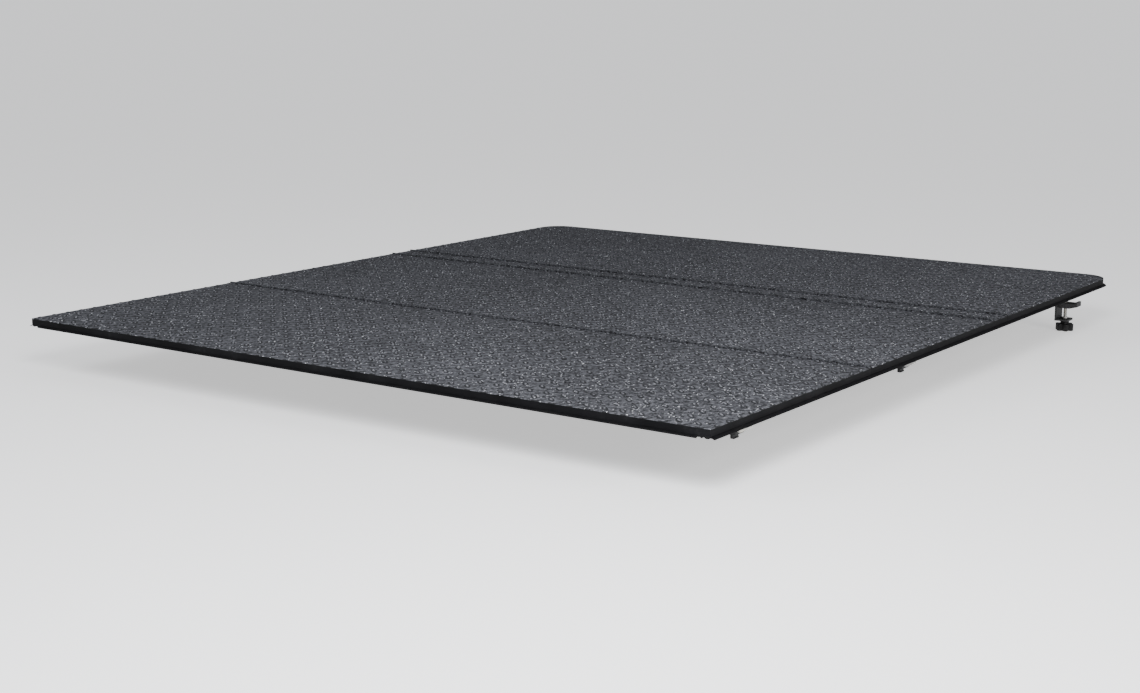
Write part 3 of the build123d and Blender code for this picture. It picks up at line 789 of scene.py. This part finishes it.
# %% Tread plates
FRONT_CORNER = 60 * MM
panels = {
    "rear": "rear_panel",
    "middle": "middle_panel",
    "strip": "hinge_strip",
    "front": "front_panel",
}
for panel, body in panels.items():
    low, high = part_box(panel + "_skin")
    radius = FRONT_CORNER if panel == "front" else 0
    plate = sheet_plate(panel + "_plate", low, high, radius)
    field = lug_field(panel + "_lugs", low, high)
    if radius:
        pick_faces(field, lambda c, n: outside_corner(c, high, radius))
        bpy.ops.mesh.select_linked()
        bpy.ops.mesh.delete(type="FACE")
        close_edit()
    tread = join(panel + "_tread", [plate, field])
    paint(tread, finishes["tread_skin"])
    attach(tread, body)
    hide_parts(panel + "_skin")
    print(tread.name, len(tread.data.polygons), "faces")

# %% [markdown]
# ## Rubber seals
#
# Under every rail runs an extruded rubber seal: a foot that fills the rail's width, a soft bulb
# and a small rib that squash on the truck's rail, and a thin lip that flares outboard and keeps
# rain off the joint. It could be a box with a bump map, but the lip is what shows from outside.
# So the section is drawn once, by setting the corners of a flat disc, and then pulled along the
# rail like dough: extruded on the straights and spun round the corners.

# %% Seal section and its runs
SEAL_SECTION = (
    (-23.0, 3.0), (0.0, 3.0), (2.4, 2.75), (4.6, 2.0), (6.3, 1.0), (7.0, 0.35), (6.9, 0.0),
    (6.2, 0.25), (4.6, 1.1), (2.6, 1.75), (0.2, 2.0), (-1.4, 1.9), (-2.2, 1.1), (-3.6, 0.3),
    (-5.6, 0.0), (-7.6, 0.0), (-9.6, 0.3), (-11.0, 1.1), (-11.8, 1.9), (-14.4, 1.9),
    (-15.2, 0.6), (-16.2, 0.1), (-17.4, 0.1), (-18.4, 0.6), (-19.2, 1.9), (-21.8, 1.9),
    (-23.0, 2.3),
)
SPIN_STEPS = 14


def start_section(name, place):
    """A flat face in the seal's section; place turns its (out, up) into a point, in metres."""
    clear_selection()
    bpy.ops.mesh.primitive_circle_add(
        vertices=len(SEAL_SECTION), radius=10 * MM, fill_type="NGON")
    face = named(name)
    for vertex, (out, up) in zip(face.data.vertices, SEAL_SECTION):
        vertex.co = place(out * MM, up * MM)
    bpy.ops.object.mode_set(mode="EDIT")
    bpy.ops.mesh.select_mode(type="FACE")
    bpy.ops.mesh.select_all(action="SELECT")
    return face


def pull(move):
    """Extrudes the selected end face."""
    bpy.ops.mesh.extrude_region_move(TRANSFORM_OT_translate={"value": move})


def turn(centre):
    """Spins the selected end face round a right-angled corner to the left."""
    bpy.ops.mesh.spin(steps=SPIN_STEPS, angle=-radians(90), center=centre, axis=(0, 0, 1))


def loose_edges(piece):
    """How many edges don't have exactly two faces, which is none on a closed piece."""
    uses = {}
    for face in piece.data.polygons:
        for key in face.edge_keys:
            uses[key] = uses.get(key, 0) + 1
    return sum(count != 2 for count in uses.values())


def finish_seal(seal, body, *parts):
    """Closes a seal, gives it its rubber and hangs it on its body in place of some parts."""
    close_edit()
    outward(seal)
    smooth(seal, 40)
    paint(seal, finishes["seal_rubber"])
    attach(seal, body)
    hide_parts(*parts)
    print(seal.name, len(seal.data.polygons), "faces,", loose_edges(seal), "loose edges")


# %% [markdown]
# The straight seals come in pairs, left and right of the rear and middle panels and the strip.
# The tailgate's seal runs across, between them. The front seal is one piece, round both corners.

# %% Straight side seals
side = rear_skin_high.x
lip = max(out for out, up in SEAL_SECTION) * MM
for panel in ("rear", "middle", "strip"):
    cad_node = "strip_seals" if panel == "strip" else panel + "_side_seals"
    low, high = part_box(cad_node)
    pair = []
    for hand in (-1, 1):
        seal = start_section(
            f"{panel}_seal_{hand}", lambda out, up: (hand * (side + out), low.y, up))
        pull((0, high.y - low.y, 0))
        close_edit()
        pair.append(seal)
    finish_seal(join(panel + "_side_seal_pair", pair), panels[panel], cad_node)

# %% Tailgate seal
low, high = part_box("tailgate_seal")
tail_lip = rear_edge - low.y
tail_squeeze = tail_lip / lip


def tail_point(out, up):
    """The tail seal's lip is drawn in to the part's own reach, and its foot stays as it is."""
    reach = out * tail_squeeze if out > 0 else out
    return (low.x, rear_edge - reach, up)


tail_seal = start_section("tailgate_seal_strip", tail_point)
pull((high.x - low.x, 0, 0))
finish_seal(tail_seal, "rear_panel", "tailgate_seal")

# %% Front seal
low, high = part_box("front_side_seals")
corner_x = side - FRONT_CORNER
corner_y = front_skin_high.y - FRONT_CORNER
front_seal = start_section("front_seal_loop", lambda out, up: (side + out, low.y, up))
pull((0, corner_y - low.y, 0))
turn((corner_x, corner_y, 0))
pull((-2 * corner_x, 0, 0))
turn((-corner_x, corner_y, 0))
pull((0, low.y - corner_y, 0))
finish_seal(front_seal, "front_panel", "front_side_seals", "bulkhead_seal")
print("front seal box", [round(c, 4) for c in front_seal.dimensions])

# %% [markdown]
# ## Latch springs
#
# Each latch has a small coil spring behind its bolt. A ring of wire, swept by a Screw modifier,
# makes the coil, and its two cut ends are filled.

# %% Latch springs
WIRE = 0.5 * MM
COIL = 4.0 * MM
TURNS = 8
WIRE_SIDES = 10
COIL_STEPS = 20

for joint in frame["joints"]:
    if "_bolt_" not in joint["name"]:
        continue
    panel, hand = joint["name"].split("_bolt_")
    node = f"{panel}_latch_spring_{hand}"
    low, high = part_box(node)
    middle = (low + high) / 2
    length = high.x - low.x
    pitch = (length - 2 * WIRE) / TURNS
    clear_selection()
    bpy.ops.mesh.primitive_circle_add(vertices=WIRE_SIDES, radius=WIRE, location=(0, COIL, 0))
    spring = named(node.replace("spring", "coil"))
    settle(spring)
    coil_up(spring, "X", pitch, TURNS, COIL_STEPS)
    start = min(v.co.x for v in spring.data.vertices)
    spring.location = (low.x - start, middle.y, middle.z)
    settle(spring)
    outward(spring)
    smooth(spring, 50)
    paint(spring, finishes["zinc_steel"])
    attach(spring, joint["parent"])
    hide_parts(node)
    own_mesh(spring)
    print(spring.name, round(length / MM, 1), "mm,", loose_edges(spring), "loose edges")

# %% [markdown]
# ## Clamp spindles
#
# The front clamps are drawn up by a long screw. Its thread is a real helix: a small triangle
# swept by a Screw modifier round a plain core. The core is a cylinder with eased ends, and the
# collar that rests on the bracket's arm is a second, wider one.

# %% Clamp spindles
THREAD_PITCH = 1.25 * MM
THREAD_DEPTH = 0.62 * MM
THREAD_FLANKS = (0.08, 0.5, 0.92)
THREAD_STEPS = 24
THREAD_BURY = 0.05 * MM
SHANK = 4.0 * MM
COLLAR = 7.0 * MM
COLLAR_DEPTH = 4.0 * MM
ARM_DEPTH = 4.0 * MM
RUN_OUT = 0.5 * MM
PLAIN_TIP = 4.0 * MM
BAR_SIDES = 32


def bar(name, centre, radius, low_z, high_z, ease):
    """An upright round bar with eased ends."""
    clear_selection()
    bpy.ops.mesh.primitive_cylinder_add(
        vertices=BAR_SIDES, radius=radius, depth=high_z - low_z,
        location=(centre.x, centre.y, (low_z + high_z) / 2))
    made = named(name)
    settle(made)
    pick_edges(made, lambda a, b: abs(a.z - b.z) < MM / 100)
    bpy.ops.mesh.bevel(offset=ease, segments=2)
    close_edit()
    return made


def thread(name, centre, radius, low_z, high_z):
    """A helical ridge of triangular section."""
    turns = int((high_z - low_z) / THREAD_PITCH)
    clear_selection()
    bpy.ops.mesh.primitive_circle_add(vertices=3, radius=MM)
    ridge = named(name)
    root = radius - THREAD_DEPTH
    for vertex, out, up in zip(ridge.data.vertices, (root, radius, root), THREAD_FLANKS):
        vertex.co = (out, 0, up * THREAD_PITCH)
    coil_up(ridge, "Z", THREAD_PITCH, turns, THREAD_STEPS)
    ridge.location = (centre.x, centre.y, low_z)
    settle(ridge)
    return ridge


for hand in ("left", "right"):
    node = "clamp_screw_" + hand
    low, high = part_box(node)
    centre = (low + high) / 2
    root = SHANK - THREAD_DEPTH + THREAD_BURY
    collar_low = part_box("clamp_bracket_" + hand)[0].z + ARM_DEPTH
    collar_high = collar_low + COLLAR_DEPTH
    core = bar("core_" + hand, centre, root, low.z, high.z, 0.5 * MM)
    foot = bar("foot_" + hand, centre, SHANK, low.z, collar_low, 0.4 * MM)
    collar = bar("collar_" + hand, centre, COLLAR, collar_low, collar_high, 0.6 * MM)
    helix = thread("thread_" + hand, centre, SHANK, collar_high + RUN_OUT, high.z - PLAIN_TIP)
    spindle = join("clamp_spindle_" + hand, [core, foot, collar, helix])
    outward(spindle)
    smooth(spindle, 35)
    paint(spindle, finishes["zinc_steel"])
    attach(spindle, "clamp_spindle_" + hand)
    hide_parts(node)
    print(spindle.name, len(spindle.data.polygons), "faces,", loose_edges(spindle), "loose edges")

# %% [markdown]
# ## Floor and light
#
# A pale floor that runs out of sight and glows a little, an even sky, and three soft lamps. Two
# stand behind the tailgate, the stronger one on the right, and a weak one stands low beside the
# right-hand edge. So the near corner of the cover is the brightest, and the tread grows darker
# towards the cab.

# %% Floor, world and lamps
SKY_LIGHT = 0.36
SKY_COLOUR = (0.92, 0.94, 1.0, 1)
FLOOR_SIZE = 500
FLOOR_GAP = 0.3 * MM
FLOOR_DULL, FLOOR_PALE = (0.86, 0.86, 0.86), (0.9, 0.9, 0.9)
FLOOR_GLOW = 0.7
LAMPS = {
    "side": ((3.0, -1.5, 1.1), (0.2, -1.5, 0), 0.8, 24, (1.0, 0.98, 0.96)),
    "tail_right": ((1.5, -3.1, 1.5), (0.4, -1.7, 0), 0.9, 84, (0.97, 0.98, 1.0)),
    "tail_left": ((-1.6, -3.6, 1.9), (-0.3, -1.4, 0), 1.4, 26, (0.95, 0.97, 1.0)),
}

clear_selection()
floor_height = cad_box[0][2] - FLOOR_GAP
bpy.ops.mesh.primitive_plane_add(size=FLOOR_SIZE, location=(0, 0, floor_height))
floor = named("floor")
floor_finish = Finish("floor_paint")
floor_colour = floor_finish.blend(floor_finish.noise(1.2, 3), FLOOR_DULL, FLOOR_PALE)
paint(floor, floor_finish.finish(
    Base_Color=floor_colour, Roughness=0.8, Emission_Color=(1, 1, 1),
    Emission_Strength=FLOOR_GLOW))

world = bpy.data.worlds.new("studio")
world.use_nodes = True
background = world.node_tree.nodes["Background"]
background.inputs["Color"].default_value = SKY_COLOUR
background.inputs["Strength"].default_value = SKY_LIGHT
bpy.context.scene.world = world

for name, (place, aim, size, watts, colour) in LAMPS.items():
    data = bpy.data.lights.new(name, "AREA")
    data.shape = "RECTANGLE"
    data.size = data.size_y = size
    data.energy = watts
    data.color = colour
    light = bpy.data.objects.new(name, data)
    light.location = place
    light.rotation_euler = (Vector(aim) - Vector(place)).to_track_quat("-Z", "Y").to_euler()
    bpy.context.scene.collection.objects.link(light)
print("floor, sky and", len(LAMPS), "lamps")
